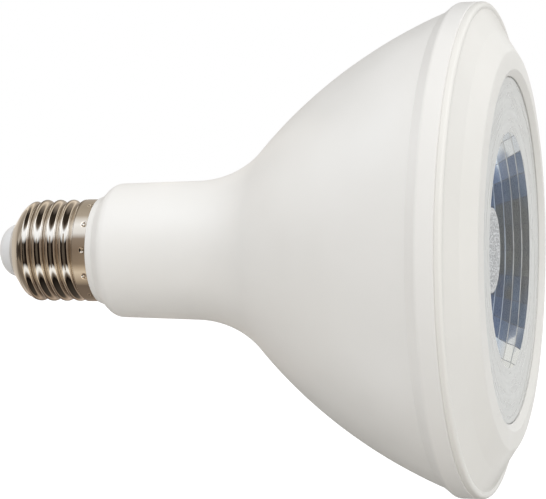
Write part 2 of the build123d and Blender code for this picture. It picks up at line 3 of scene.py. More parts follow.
import bpy
import numpy as np
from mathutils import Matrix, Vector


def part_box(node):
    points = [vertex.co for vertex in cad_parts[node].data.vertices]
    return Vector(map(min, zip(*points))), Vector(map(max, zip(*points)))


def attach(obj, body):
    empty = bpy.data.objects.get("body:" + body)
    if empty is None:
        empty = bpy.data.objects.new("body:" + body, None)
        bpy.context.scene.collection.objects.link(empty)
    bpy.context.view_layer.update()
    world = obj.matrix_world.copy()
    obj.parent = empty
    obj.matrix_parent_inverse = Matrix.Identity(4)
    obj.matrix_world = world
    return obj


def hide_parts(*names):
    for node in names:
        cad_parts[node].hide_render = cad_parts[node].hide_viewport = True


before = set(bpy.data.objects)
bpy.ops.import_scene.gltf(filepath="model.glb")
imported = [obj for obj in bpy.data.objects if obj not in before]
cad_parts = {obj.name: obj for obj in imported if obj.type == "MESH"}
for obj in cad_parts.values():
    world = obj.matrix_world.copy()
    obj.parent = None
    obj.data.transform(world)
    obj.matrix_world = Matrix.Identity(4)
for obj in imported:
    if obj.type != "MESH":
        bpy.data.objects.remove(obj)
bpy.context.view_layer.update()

# Sizes in metres. The lamp's axis is X: the contact's end face is at 0 and the light leaves towards +X.
MM = 0.001
cap_mouth_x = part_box("screw_shell")[0][0]
cap_end_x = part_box("screw_shell")[1][0]
spigot_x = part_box("housing")[0][0]
seam_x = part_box("housing")[1][0]
lens_back_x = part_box("front_lens")[0][0]
lens_face_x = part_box("front_lens")[1][0]
reflector_front_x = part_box("reflector")[1][0]
led_board_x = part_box("led_board")[1][0]
collimator_top_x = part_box("collimator_lens")[1][0]
ring_spigot_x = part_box("front_ring")[0][0]

rim_r = 61.0 * MM
rim_bore_r = rim_r - 2.2 * MM
window_r = 29.0 * MM
lens_r = 44.2 * MM

# Width of the small chamfers on both sides of the seam between housing and ring, and the round beside them
SEAM = 0.25 * MM
SEAM_ROUND = 0.1 * MM

# The reflector's facets, in rows from the light source board to the mouth
BOWL_ROWS = 11
BOWL_FACETS = 30
BOWL_DEPTH = reflector_front_x - led_board_x

# Steps round the axis of the large turned pieces
TURN_STEPS = 288

# Points of a mesh that are closer than this are one
MERGE = 1e-8


# Shapes: outlines in the plane of the axis, and the surfaces they make

def unit(vector):
    """The vector divided by its length."""
    return vector / np.linalg.norm(vector)


def arc(start, end, slope, steps):
    """Points of the circle that leaves start at that slope angle and passes through end.

    The circle turns by twice the angle between the slope and the chord, evenly along the way."""
    start = np.array(start)
    chord = np.array(end) - start
    turn = 2 * (atan2(chord[1], chord[0]) - slope)
    angle = np.linspace(0, turn, steps)
    radius = np.linalg.norm(chord) / (2 * sin(turn / 2))
    x = start[0] + radius * (np.sin(slope + angle) - sin(slope))
    r = start[1] - radius * (np.cos(slope + angle) - cos(slope))
    return np.column_stack([x, r])


def rounded(corners, steps=7):
    """Closed outline through (distance, radius, round) corners.

    A corner with a round becomes the arc of that radius that touches its two sides."""
    points = np.array([corner[:2] for corner in corners])
    outline = []
    for i, corner in enumerate(corners):
        point = points[i]
        if corner[2] == 0:
            outline.append(point[None])
            continue
        back = unit(points[i - 1] - point)
        on = unit(points[(i + 1) % len(points)] - point)
        half = acos(np.clip(back @ on, -1, 1)) / 2
        centre = point + unit(back + on) * corner[2] / sin(half)
        first = point + back * corner[2] / tan(half) - centre
        last = point + on * corner[2] / tan(half) - centre
        sweep = pi - 2 * half
        share = np.linspace(0, 1, steps)[:, None]
        swing = np.sin((1 - share) * sweep) * first + np.sin(share * sweep) * last
        outline.append(centre + swing / sin(sweep))
    return np.vstack(outline)


def even_turn(steps):
    """That many even angles round the axis."""
    return np.linspace(0, 2 * pi, steps, endpoint=False)


def carried(outline, turn):
    """Grid of (distance, radius) points carried to each angle about the axis."""
    x = np.repeat(outline[:, :1], len(turn), axis=1)
    return np.stack([x, outline[:, 1:] * np.cos(turn), outline[:, 1:] * np.sin(turn)], axis=-1)


def turned(outline, steps=TURN_STEPS):
    """Grid of a closed outline carried round the axis, in the order that faces it outward."""
    area = np.sum(outline[:, 0] * np.roll(outline[:, 1], -1) - np.roll(outline[:, 0], -1) * outline[:, 1])
    if area > 0:
        outline = outline[::-1]
    return carried(outline, even_turn(steps))


def new_object(name, points, faces, material):
    """An object in the scene with a mesh of those points and faces."""
    mesh = bpy.data.meshes.new(name)
    mesh.from_pydata(points, [], faces)
    mesh.materials.append(material)
    piece = bpy.data.objects.new(name, mesh)
    bpy.context.scene.collection.objects.link(piece)
    return piece


def surface(name, grid, material, node=None, close_rows=True, crease=32):
    """Mesh of a grid of points: a quad between each four neighbours, closed round the columns.

    close_rows also joins the last row to the first. Points that coincide at a pole are merged. Edges sharper
    than the crease angle stay sharp, and the rest is smooth."""
    rows, columns = grid.shape[:2]
    index = np.arange(rows * columns).reshape(rows, columns)
    index = np.hstack([index, index[:, :1]])
    if close_rows:
        index = np.vstack([index, index[:1]])
    quads = np.stack([index[:-1, :-1], index[:-1, 1:], index[1:, 1:], index[1:, :-1]], axis=-1).reshape(-1, 4)
    points = grid.reshape(-1, 3)
    keys = np.round(points / MERGE)
    first, inverse = np.unique(keys, axis=0, return_index=True, return_inverse=True)[1:]
    faces = []
    for quad in inverse.ravel()[quads].tolist():
        kept = [v for i, v in enumerate(quad) if v != quad[i - 1]]
        if len(kept) > 2:
            faces.append(kept)
    piece = new_object(name, points[first].tolist(), faces, material)
    piece.data.polygons.foreach_set("use_smooth", np.ones(len(faces), dtype=bool))
    piece.data.set_sharp_from_angle(angle=radians(crease))
    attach(piece, "root")
    if node:
        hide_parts(node)


# Node helpers: sockets are named, and a value may be a socket or a constant

# Input and output places of a colour mix
MIX_SHARE = 0
MIX_FIRST = 6
MIX_SECOND = 7
MIX_RESULT = 2


def add_node(tree, kind, **sockets):
    """Adds a node and sets its inputs by name."""
    node = tree.nodes.new(kind)
    for name, value in sockets.items():
        node.inputs[name.replace("_", " ")].default_value = value
    return node


def give(tree, socket, value):
    """Links an input socket to another socket, or sets it to a constant."""
    if isinstance(value, bpy.types.NodeSocket):
        tree.links.new(value, socket)
    else:
        socket.default_value = value


def math_node(tree, operation, first, second=None):
    """Adds a math operation on one or two values and gives its output."""
    node = tree.nodes.new("ShaderNodeMath")
    node.operation = operation
    give(tree, node.inputs[0], first)
    if second is not None:
        give(tree, node.inputs[1], second)
    return node.outputs["Value"]


def mix_colours(tree, how, share, first, second):
    """Adds a mix of two colours and gives its output."""
    mix = tree.nodes.new("ShaderNodeMix")
    mix.data_type = "RGBA"
    mix.blend_type = how
    give(tree, mix.inputs[MIX_SHARE], share)
    give(tree, mix.inputs[MIX_FIRST], first)
    give(tree, mix.inputs[MIX_SECOND], second)
    return mix.outputs[MIX_RESULT]


def colour_ramp(tree, value, stops):
    """Adds a ramp through (place from 0 to 1, red, green, blue) stops and gives its output."""
    ramp = tree.nodes.new("ShaderNodeValToRGB")
    elements = ramp.color_ramp.elements
    for i, (place, *colour) in enumerate(stops):
        element = elements[i] if i < 2 else elements.new(1.0)
        element.position = place
        element.color = (*colour, 1)
    tree.links.new(value, ramp.inputs["Fac"])
    return ramp.outputs["Color"]


def stops_ramp(tree, value, stops):
    """Adds a ramp through (value, red, green, blue) stops of any range and gives its output."""
    low, high = stops[0][0], stops[-1][0]
    share = add_node(tree, "ShaderNodeMapRange", From_Min=low, From_Max=high)
    tree.links.new(value, share.inputs["Value"])
    places = [((stop - low) / (high - low), *colour) for stop, *colour in stops]
    return colour_ramp(tree, share.outputs["Result"], places)


def blend_colours(tree, value, deep, pale, low=0.35, high=0.65):
    """Adds a ramp from deep at the low value to pale at the high one and gives its output."""
    return colour_ramp(tree, value, [(low, *deep), (high, *pale)])


def span_value(tree, value, low, high):
    """Spreads a noise value, which stays near the middle, from low to high and gives the output."""
    usual_low, usual_high = 0.3, 0.7
    spread = add_node(
        tree, "ShaderNodeMapRange", From_Min=usual_low, From_Max=usual_high, To_Min=low, To_Max=high
    )
    tree.links.new(value, spread.inputs["Value"])
    return spread.outputs["Result"]


def relief(tree, height, depth, shader):
    """Bumps the shader's normal by a height of that depth in metres."""
    bump = add_node(tree, "ShaderNodeBump", Strength=1.0, Distance=depth)
    tree.links.new(height, bump.inputs["Height"])
    tree.links.new(bump.outputs["Normal"], shader.inputs["Normal"])


# Shared effects as node groups

def new_group(name, outputs):
    """An empty node group with a Vector input and float outputs of those names."""
    group = bpy.data.node_groups.new(name, "ShaderNodeTree")
    group.interface.new_socket(name="Vector", in_out="INPUT", socket_type="NodeSocketVector")
    for output in outputs:
        group.interface.new_socket(name=output, in_out="OUTPUT", socket_type="NodeSocketFloat")
    return group, group.nodes.new("NodeGroupInput"), group.nodes.new("NodeGroupOutput")


def noise_group(name, effects):
    """A group of noises, each (output, stretch, scale, detail).

    A stretch squeezes the noise along X, which draws it out round the axis."""
    group, source, sink = new_group(name, [effect[0] for effect in effects])
    for output, stretch, scale, detail in effects:
        mapping = add_node(group, "ShaderNodeMapping", Scale=(stretch, 1, 1))
        noise = add_node(group, "ShaderNodeTexNoise", Scale=scale, Detail=detail)
        group.links.new(source.outputs["Vector"], mapping.inputs["Vector"])
        group.links.new(mapping.outputs["Vector"], noise.inputs["Vector"])
        group.links.new(noise.outputs["Fac"], sink.inputs[output])
    return group


def split_place(group, source):
    """The parts of a group's place, by name, and its turn about the axis."""
    split = group.nodes.new("ShaderNodeSeparateXYZ")
    group.links.new(source.outputs["Vector"], split.inputs["Vector"])
    turn = math_node(group, "ARCTAN2", split.outputs["Z"], split.outputs["Y"])
    return split.outputs, turn


def ring_group():
    """Streaks drawn round the axis: noise over the radius that changes slowly with the turn."""
    per_metre = 460.0
    per_radian = 2.5
    group, source, sink = new_group("ring_streaks", ["Streak"])
    parts, turn = split_place(group, source)
    across = math_node(group, "POWER", parts["Y"], 2.0)
    up = math_node(group, "POWER", parts["Z"], 2.0)
    radius = math_node(group, "SQRT", math_node(group, "ADD", across, up))
    place = group.nodes.new("ShaderNodeCombineXYZ")
    group.links.new(math_node(group, "MULTIPLY", radius, per_metre), place.inputs["X"])
    group.links.new(math_node(group, "MULTIPLY", turn, per_radian), place.inputs["Y"])
    noise = add_node(group, "ShaderNodeTexNoise", Scale=1.0, Detail=2.0)
    group.links.new(place.outputs["Vector"], noise.inputs["Vector"])
    group.links.new(noise.outputs["Fac"], sink.inputs["Streak"])
    return group


def facet_group():
    """For the bowl's facets, a random number each, masks of the fine ridges between the rows and between the
    columns, and the place from the bowl's back to its mouth.

    A facet's row comes from the distance along the axis and its column from the turn round it."""
    row_line = 0.05
    column_line = 0.02
    group, source, sink = new_group("facet_cells", ["Cell", "Edge", "Side", "Depth"])
    parts, turn = split_place(group, source)
    column = math_node(group, "MULTIPLY", turn, BOWL_FACETS / (2 * pi))
    height = math_node(group, "SUBTRACT", parts["X"], led_board_x)
    row = math_node(group, "DIVIDE", height, BOWL_DEPTH / BOWL_ROWS)
    cell = group.nodes.new("ShaderNodeCombineXYZ")
    group.links.new(math_node(group, "FLOOR", column), cell.inputs["X"])
    group.links.new(math_node(group, "FLOOR", row), cell.inputs["Y"])
    noise = group.nodes.new("ShaderNodeTexWhiteNoise")
    group.links.new(cell.outputs["Vector"], noise.inputs["Vector"])
    group.links.new(noise.outputs["Value"], sink.inputs["Cell"])
    for output, place, width in (("Edge", row, row_line), ("Side", column, column_line)):
        from_line = math_node(group, "PINGPONG", place, 0.5)
        group.links.new(math_node(group, "LESS_THAN", from_line, width), sink.inputs[output])
    group.links.new(math_node(group, "DIVIDE", row, BOWL_ROWS), sink.inputs["Depth"])
    return group


# Slow mottling, fine grain and patchy sheen of a moulded or glazed skin
MOULDED = noise_group("moulded_skin", [
    ("Tint", 1, 34.0, 3.0),
    ("Grain", 1, 2600.0, 2.0),
    ("Sheen", 1, 110.0, 4.0),
])
# Cloudy tint, fine scratches drawn round the axis, and patchy polish of a plated or turned metal
METAL = noise_group("worked_metal", [
    ("Tint", 1, 90.0, 3.0),
    ("Scratch", 30, 260.0, 6.0),
    ("Polish", 6, 240.0, 4.0),
])


# Materials: each finish is a short function

def start_material(name, group):
    """A material with a Principled shader and the group fed with Object coordinates."""
    material = bpy.data.materials.new(name)
    material.use_nodes = True
    tree = material.node_tree
    place = tree.nodes.new("ShaderNodeTexCoord")
    effect = tree.nodes.new("ShaderNodeGroup")
    effect.node_tree = group
    tree.links.new(place.outputs["Object"], effect.inputs["Vector"])
    return material, tree, tree.nodes["Principled BSDF"], effect.outputs


def moulded(name, deep, pale, smooth, rough, depth=0.004 * MM):
    """A moulded plastic, lacquer or glaze: mottled colour, patchy sheen and fine grain."""
    material, tree, shader, effect = start_material(name, MOULDED)
    give(tree, shader.inputs["Base Color"], blend_colours(tree, effect["Tint"], deep, pale))
    give(tree, shader.inputs["Roughness"], span_value(tree, effect["Sheen"], smooth, rough))
    relief(tree, effect["Grain"], depth, shader)
    return material


def metal(name, deep, pale, smooth, rough, depth=0.002 * MM):
    """A plated or turned metal: cloudy tint, patchy polish and fine scratches round the axis."""
    material, tree, shader, effect = start_material(name, METAL)
    shader.inputs["Metallic"].default_value = 1.0
    give(tree, shader.inputs["Base Color"], blend_colours(tree, effect["Tint"], deep, pale))
    give(tree, shader.inputs["Roughness"], span_value(tree, effect["Polish"], smooth, rough))
    relief(tree, effect["Scratch"], depth, shader)
    return material


def pass_rays(material, ray, others, tint):
    """Lets one kind of ray pass the material with that tint, or all the other kinds where others is true."""
    tree = material.node_tree
    path = tree.nodes.new("ShaderNodeLightPath")
    through = add_node(tree, "ShaderNodeBsdfTransparent", Color=(*tint, 1))
    choice = tree.nodes.new("ShaderNodeMixShader")
    solid_place, through_place = (2, 1) if others else (1, 2)
    tree.links.new(path.outputs[ray], choice.inputs["Fac"])
    tree.links.new(tree.nodes["Principled BSDF"].outputs["BSDF"], choice.inputs[solid_place])
    tree.links.new(through.outputs["BSDF"], choice.inputs[through_place])
    tree.links.new(choice.outputs["Shader"], tree.nodes["Material Output"].inputs["Surface"])


def frost(name, deep, pale, smooth, rough, depth):
    """A thin frosted film with streaks round the axis: the eye sees it, and light passes through to what lies
    behind it."""
    film_tint = (0.97, 0.97, 0.97)
    material, tree, shader, effect = start_material(name, ring_group())
    give(tree, shader.inputs["Base Color"], blend_colours(tree, effect["Streak"], deep, pale))
    give(tree, shader.inputs["Roughness"], span_value(tree, effect["Streak"], smooth, rough))
    relief(tree, effect["Streak"], depth, shader)
    pass_rays(material, "Is Camera Ray", True, film_tint)
    return material


def clear(name, tint, ior, smooth, rough, depth):
    """A clear moulding: it refracts, and lets the lamps' light through to what lies behind it."""
    material, tree, shader, effect = start_material(name, MOULDED)
    shader.inputs["Base Color"].default_value = (*tint, 1)
    shader.inputs["Transmission Weight"].default_value = 1.0
    shader.inputs["IOR"].default_value = ior
    give(tree, shader.inputs["Roughness"], span_value(tree, effect["Sheen"], smooth, rough))
    relief(tree, effect["Tint"], depth, shader)
    pass_rays(material, "Is Shadow Ray", False, tint)
    return material


def milky_with_painted_glow(name, deep, pale, smooth, rough, bead, glow):
    """A milky moulding with a close grain of pale beads: painted light and shade, pale cell middles and
    darker cell edges, stand in for the light on the beads' tops and the shade between them. Its colour also
    glows everywhere as a painted glow, which stands in for the light that hardly reaches it deep in the bowl."""
    bead_middle = 0.25
    bead_edge = 0.6
    material, tree, shader, effect = start_material(name, MOULDED)
    cells = add_node(tree, "ShaderNodeTexVoronoi", Scale=1 / bead)
    tree.links.new(tree.nodes["Texture Coordinate"].outputs["Object"], cells.inputs["Vector"])
    # Painted light and shade of the beads: pale middles of the cells, darker edges between them
    colour = blend_colours(tree, cells.outputs["Distance"], pale, deep, bead_middle, bead_edge)
    give(tree, shader.inputs["Base Color"], colour)
    # Painted glow: the same colour is also given out as light, at the glow strength
    give(tree, shader.inputs["Emission Color"], colour)
    shader.inputs["Emission Strength"].default_value = glow
    give(tree, shader.inputs["Roughness"], span_value(tree, effect["Sheen"], smooth, rough))
    return material


def facet_mirror():
    """A bright metal film, bluer towards the back of the bowl, whose tint differs from facet to facet; it is
    dulled along the ridges between the rows, and dark along those between the columns."""
    dull_facet = (0.66, 0.70, 0.76)
    bright_facet = (0.99, 0.99, 0.96)
    back_tint, back_place = (0.74, 0.85, 1.0), 0.70
    mouth_tint, mouth_place = (1.0, 0.98, 0.93), 0.80
    side_tint = (0.22, 0.23, 0.27, 1)
    ridge_tint = (0.80, 0.80, 0.78, 1)
    facet_rough = 0.015
    ridge_rough = 0.4
    material, tree, shader, effect = start_material("bright_facets", facet_group())
    shader.inputs["Metallic"].default_value = 1.0
    cell = blend_colours(tree, effect["Cell"], dull_facet, bright_facet, 0, 1)
    sides = mix_colours(tree, "MIX", effect["Side"], cell, side_tint)
    rows = mix_colours(tree, "MIX", effect["Edge"], sides, ridge_tint)
    depth = blend_colours(tree, effect["Depth"], back_tint, mouth_tint, back_place, mouth_place)
    give(tree, shader.inputs["Base Color"], mix_colours(tree, "MULTIPLY", 1.0, rows, depth))
    dulled = math_node(tree, "MULTIPLY", effect["Edge"], ridge_rough)
    give(tree, shader.inputs["Roughness"], math_node(tree, "MAXIMUM", dulled, facet_rough))
    return material


white_plastic = moulded("white_plastic", (0.775, 0.768, 0.748), (0.795, 0.788, 0.770), 0.36, 0.46)
ring_plastic = moulded("ring_plastic", (0.765, 0.755, 0.720), (0.795, 0.785, 0.752), 0.34, 0.44)
nickel_plate = metal("nickel_plate", (0.63, 0.575, 0.50), (0.70, 0.64, 0.565), 0.02, 0.06)
nose_glaze = moulded("nose_glaze", (0.66, 0.665, 0.675), (0.71, 0.715, 0.725), 0.25, 0.38, 0.002 * MM)
tinned_contact = metal("tinned_contact", (0.56, 0.55, 0.52), (0.68, 0.67, 0.64), 0.25, 0.45, 0.01 * MM)
clear_cover = clear("clear_cover", (0.98, 0.985, 0.985), 1.03, 0.0, 0.02, 0.002 * MM)
frosted_border = frost("frosted_border", (0.55, 0.56, 0.545), (0.675, 0.685, 0.67), 0.22, 0.38, 0.005 * MM)
bright_facets = facet_mirror()
# The collimator's beads carry painted light and shade, and its colour a painted glow of strength 0.20
beaded_lens = milky_with_painted_glow("beaded_lens", (0.52, 0.51, 0.49), (0.98, 0.97, 0.95), 0.15, 0.30, 0.58 * MM, 0.20)

# Finishes of the hidden nodes, which keep their CAD shapes
black_mould = moulded("black_mould", (0.006, 0.006, 0.007), (0.012, 0.012, 0.014), 0.5, 0.7)
plain_finishes = {
    "heat_sink": metal("spun_aluminium", (0.55, 0.56, 0.57), (0.66, 0.67, 0.68), 0.28, 0.45, 0.01 * MM),
    "led_screws": metal("zinc_steel", (0.50, 0.51, 0.53), (0.62, 0.63, 0.65), 0.22, 0.40),
    "thermal_pad": moulded("grey_silicone", (0.28, 0.32, 0.36), (0.34, 0.38, 0.42), 0.6, 0.8),
    "led_board": moulded("white_mask", (0.78, 0.78, 0.75), (0.84, 0.84, 0.81), 0.3, 0.5),
    "led_emitter": moulded("yellow_phosphor", (0.78, 0.52, 0.04), (0.86, 0.62, 0.08), 0.35, 0.55),
    "driver_board": moulded("green_mask", (0.015, 0.09, 0.03), (0.03, 0.13, 0.05), 0.3, 0.5),
    "electrolytic_capacitor": moulded(
        "black_sleeve", (0.010, 0.011, 0.015), (0.018, 0.020, 0.026), 0.2, 0.35
    ),
    "film_capacitor": moulded("brown_dip", (0.32, 0.035, 0.012), (0.40, 0.055, 0.02), 0.15, 0.3),
    "choke": moulded("dark_drum", (0.025, 0.025, 0.028), (0.045, 0.045, 0.048), 0.4, 0.6),
    "fuse_resistor": moulded("green_lacquer", (0.13, 0.26, 0.16), (0.18, 0.32, 0.21), 0.2, 0.4),
    "transformer_core": moulded(
        "dark_ferrite", (0.018, 0.018, 0.02), (0.035, 0.035, 0.038), 0.5, 0.75, 0.02 * MM
    ),
    "transformer_winding": moulded("yellow_tape", (0.62, 0.36, 0.02), (0.74, 0.46, 0.04), 0.2, 0.35),
    "bridge_rectifier": black_mould,
    "driver_chip": black_mould,
    "line_wire": moulded("brown_insulation", (0.07, 0.022, 0.008), (0.10, 0.035, 0.014), 0.3, 0.45),
    "neutral_wire": moulded("white_insulation", (0.70, 0.70, 0.67), (0.78, 0.78, 0.75), 0.3, 0.45),
    "led_wire_positive": moulded("red_insulation", (0.42, 0.008, 0.007), (0.52, 0.014, 0.012), 0.3, 0.45),
    "led_wire_negative": moulded("black_insulation", (0.004, 0.004, 0.005), (0.008, 0.008, 0.010), 0.3, 0.45),
}
for node, finish in plain_finishes.items():
    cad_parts[node].material_slots[0].material = finish


# Screw cap: rolled thread, shoulder, plain skirt and crimp punches

def cap_shell():
    """Radius over distance and turn: an eccentric circle that turns once a pitch, cut by the shoulder's cone
    and round, run out into the plain skirt, with a small dent for each punch beside the collar."""
    pitch = 3.629 * MM
    middle_r = 12.65 * MM
    offset = 0.5 * MM
    first_crest_x = cap_mouth_x + 5.1 * MM
    mouth_r = 7.3 * MM
    crown_r = 13.2 * MM
    skirt_r = 13.2 * MM
    skirt_x = cap_end_x - 3.9 * MM
    run_out = 0.9 * MM
    cone = 4.4 * MM
    shoulder = 5.5 * MM
    sheet = 0.3 * MM
    bore_r = 11.8 * MM
    bore_taper = 1.2 * MM
    punches = 12
    punch_r = 0.55 * MM
    punch_depth = 0.28 * MM
    punch_x = cap_end_x - 0.9 * MM
    soft = 0.12 * MM
    along_steps = 230
    turn_steps = 300

    cone_angle = atan2(crown_r - mouth_r, cone)
    round_x = cap_mouth_x + cone + shoulder * tan(cone_angle / 2)
    round_r = crown_r - shoulder
    along = np.linspace(cap_mouth_x, cap_end_x, along_steps)
    x, turn = np.meshgrid(along, even_turn(turn_steps), indexing="ij")
    lead = 2 * pi * (x - first_crest_x) / pitch - (turn - pi)
    thread_r = offset * np.cos(lead) + np.sqrt(middle_r**2 - (offset * np.sin(lead)) ** 2)
    cone_r = mouth_r + (x - cap_mouth_x) * tan(cone_angle)
    arc_r = round_r + np.sqrt(np.maximum(shoulder**2 - np.minimum(x - round_x, 0) ** 2, 0))
    shoulder_r = np.where(x < round_x - shoulder * sin(cone_angle), cone_r, arc_r)
    gap = np.clip(0.5 + (thread_r - shoulder_r) / (2 * soft), 0, 1)
    r = thread_r + (shoulder_r - thread_r) * gap - soft * gap * (1 - gap)
    into_skirt = np.clip((x - skirt_x + run_out / 2) / run_out, 0, 1)
    into_skirt = into_skirt**2 * (3 - 2 * into_skirt)
    r = r + (skirt_r - r) * into_skirt
    nearest = (turn - pi + pi / punches) % (2 * pi / punches) - pi / punches
    away = np.sqrt((x - punch_x) ** 2 + (skirt_r * nearest) ** 2)
    r = r - punch_depth * np.exp(-((away / punch_r) ** 4))
    outer = np.stack([x, r * np.cos(turn), r * np.sin(turn)], axis=-1)

    inside_round = shoulder - sheet
    inner = np.array([
        (cap_end_x, skirt_r - sheet),
        (skirt_x + bore_taper, skirt_r - sheet),
        (skirt_x, bore_r),
        (round_x - sqrt(inside_round**2 - (bore_r - round_r) ** 2), bore_r),
        (round_x - inside_round * sin(cone_angle), round_r + inside_round * cos(cone_angle)),
        (cap_mouth_x + sheet / 2, mouth_r - sheet),
        (cap_mouth_x, mouth_r - sheet),
    ])
    grid = np.concatenate([outer, carried(inner, turn[0])])
    surface("cap_shell", grid, nickel_plate, "screw_shell")


def cap_nose():
    """A quarter ellipse turned about the axis, from the contact's seat to the cap's mouth, and a hidden
    flange."""
    length = 4.4 * MM
    tip_x = cap_mouth_x - length
    tip_r = 1.95 * MM
    nose_r = 6.85 * MM
    bore_r = 1.15 * MM
    flange_x = cap_mouth_x + 0.45 * MM
    flange_rise = 1.2 * MM
    flange_r = 8.5 * MM
    back_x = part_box("base_insulator")[1][0]
    dome_steps = 40
    turn_steps = 160
    swing = np.linspace(0, pi / 2, dome_steps)
    dome = np.column_stack([
        cap_mouth_x - length * np.cos(swing),
        tip_r + (nose_r - tip_r) * np.sin(swing),
    ])
    rest = np.array([
        (flange_x, nose_r),
        (flange_x + flange_rise, flange_r),
        (back_x, flange_r),
        (back_x, bore_r),
        (tip_x, bore_r),
    ])
    grid = turned(np.vstack([dome, rest]), turn_steps)
    surface("cap_nose", grid, nose_glaze, "base_insulator")


def cap_contact():
    """A flat-headed nail: a disc with a rounded front edge and a slim shank, turned about the axis."""
    low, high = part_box("centre_contact")
    head_r = 1.8 * MM
    head_x = low[0] + 0.3 * MM
    shank_r = 1.1 * MM
    front_round = 0.15 * MM
    back_round = 0.05 * MM
    shank_round = 0.2 * MM
    turn_steps = 96
    outline = rounded([
        (low[0], 0, 0),
        (low[0], head_r, front_round),
        (head_x, head_r, back_round),
        (head_x, shank_r, 0),
        (high[0], shank_r, shank_round),
        (high[0], 0, 0),
    ])
    surface("cap_contact", turned(outline, turn_steps), tinned_contact, "centre_contact")


# Housing: collar, neck, flare and bevelled rim, turned about the axis

NECK_BACK = (cap_end_x + 4.8 * MM, 17.2 * MM)
NECK_FRONT = (NECK_BACK[0] + 21.65 * MM, 17.75 * MM)
FLARE_TURN = (NECK_FRONT[0] + 18.8 * MM, 26.3 * MM)
FLARE_FRONT = (FLARE_TURN[0] + 47.45 * MM, 58.9 * MM)
NECK_SLOPE = atan2(NECK_FRONT[1] - NECK_BACK[1], NECK_FRONT[0] - NECK_BACK[0])
TURN_SLOPE = 2 * atan2(FLARE_TURN[1] - NECK_FRONT[1], FLARE_TURN[0] - NECK_FRONT[0]) - NECK_SLOPE
FRONT_SLOPE = 2 * atan2(FLARE_FRONT[1] - FLARE_TURN[1], FLARE_FRONT[0] - FLARE_TURN[0]) - TURN_SLOPE


def flare(depth):
    """Corners of the flare, moved in by depth square to the face: two arcs that run into each other. Also
    gives the neck's back end, moved in alike."""
    def inside(point, slope):
        """The point moved in by depth, square to a face of that slope."""
        return (point[0] + depth * sin(slope), point[1] - depth * cos(slope))

    neck_steps = 36
    front_steps = 44
    front = inside(NECK_FRONT, NECK_SLOPE)
    turn = inside(FLARE_TURN, TURN_SLOPE)
    end = inside(FLARE_FRONT, FRONT_SLOPE)
    neck_arc = arc(front, turn, NECK_SLOPE, neck_steps)
    front_arc = arc(turn, end, TURN_SLOPE, front_steps)[1:]
    return [(x, r, 0) for x, r in np.vstack([neck_arc, front_arc])], inside(NECK_BACK, NECK_SLOPE)


def housing_body():
    """The housing's outside and inside outlines, joined into one closed outline and turned about the axis."""
    wall = 2.0 * MM
    collar_r = 13.6 * MM
    collar_rise = 0.7 * MM
    collar_x = cap_end_x + 1.9 * MM
    spigot_r = 11.55 * MM
    spigot_bore_r = 10.35 * MM
    rim_x = seam_x - 4.36 * MM
    ledge_x = seam_x - 5.3 * MM
    collar_round = 0.4 * MM
    step_round = 2.0 * MM
    neck_round = 3.8 * MM
    flare_round = 0.5 * MM
    rim_round = 1.5 * MM
    outside, neck_back = flare(0)
    inside, bore_back = flare(wall)
    outside[-1] = (*FLARE_FRONT, flare_round)
    corners = [
        (spigot_x, spigot_r, 0),
        (cap_end_x, spigot_r, 0),
        (cap_end_x, collar_r, collar_round),
        (collar_x, collar_r + collar_rise, step_round),
        (*neck_back, neck_round),
        *outside,
        (rim_x, rim_r, rim_round),
        (seam_x - SEAM, rim_r, SEAM_ROUND),
        (seam_x, rim_r - SEAM, 0),
        (seam_x, rim_bore_r, 0),
        (ledge_x, rim_bore_r, 0),
        (ledge_x, inside[-1][1], 0),
        *inside[::-1],
        (*bore_back, 0),
        (collar_x, spigot_bore_r, 0),
        (spigot_x, spigot_bore_r, 0),
    ]
    surface("housing_body", turned(rounded(corners)), white_plastic, "housing")


# Front ring: lip bead, sloping face, crest and chamfer, turned about the axis

def front_bezel():
    """The ring's outline with rounded corners, and the bead as an arc, turned about the axis."""
    bead_r = 1.0 * MM
    bead_x = seam_x + 0.9 * MM
    bead_from, bead_to, bead_steps = 90, -45, 16
    slope_x, slope_r = seam_x + 4.4 * MM, 54.0 * MM
    crest_x, crest_r = seam_x + 7.8 * MM, 48.8 * MM
    edge_x, edge_r = seam_x + 8.25 * MM, 44.4 * MM
    slope_round = 6.0 * MM
    crest_round = 2.0 * MM
    edge_round = 0.4 * MM
    lip_round = 0.1 * MM
    opening_r = 42.65 * MM
    opening_rise = 0.35 * MM
    rabbet_r = lens_r + 0.2 * MM
    rabbet_x = lens_back_x - 1.95 * MM
    rabbet_wall_r = rabbet_r + 1.4 * MM
    wall = 2.2 * MM
    spigot_out = rim_bore_r - 0.2 * MM
    spigot_in = spigot_out - 1.7 * MM
    swing = np.radians(np.linspace(bead_from, bead_to, bead_steps))
    bead = [(bead_x + bead_r * cos(a), rim_r - bead_r + bead_r * sin(a), 0) for a in swing]
    corners = [
        (seam_x + SEAM, rim_r, SEAM_ROUND),
        *bead,
        (slope_x, slope_r, slope_round),
        (crest_x, crest_r, crest_round),
        (edge_x, edge_r, edge_round),
        (lens_face_x + opening_rise, opening_r, lip_round),
        (lens_face_x, opening_r, 0),
        (lens_face_x, rabbet_r, 0),
        (rabbet_x, rabbet_r, 0),
        (rabbet_x, rabbet_wall_r, 0),
        (crest_x - wall, rabbet_wall_r, 0),
        (crest_x - wall, crest_r - wall / 2, 0),
        (slope_x - wall, slope_r - wall / 2, 0),
        (seam_x, spigot_in, 0),
        (ring_spigot_x, spigot_in, 0),
        (ring_spigot_x, spigot_out, 0),
        (seam_x, spigot_out, 0),
        (seam_x, rim_r - SEAM, 0),
    ]
    surface("front_bezel", turned(rounded(corners)), ring_plastic, "front_ring")


# Lens cover, its frosted border, reflector and beaded collimator

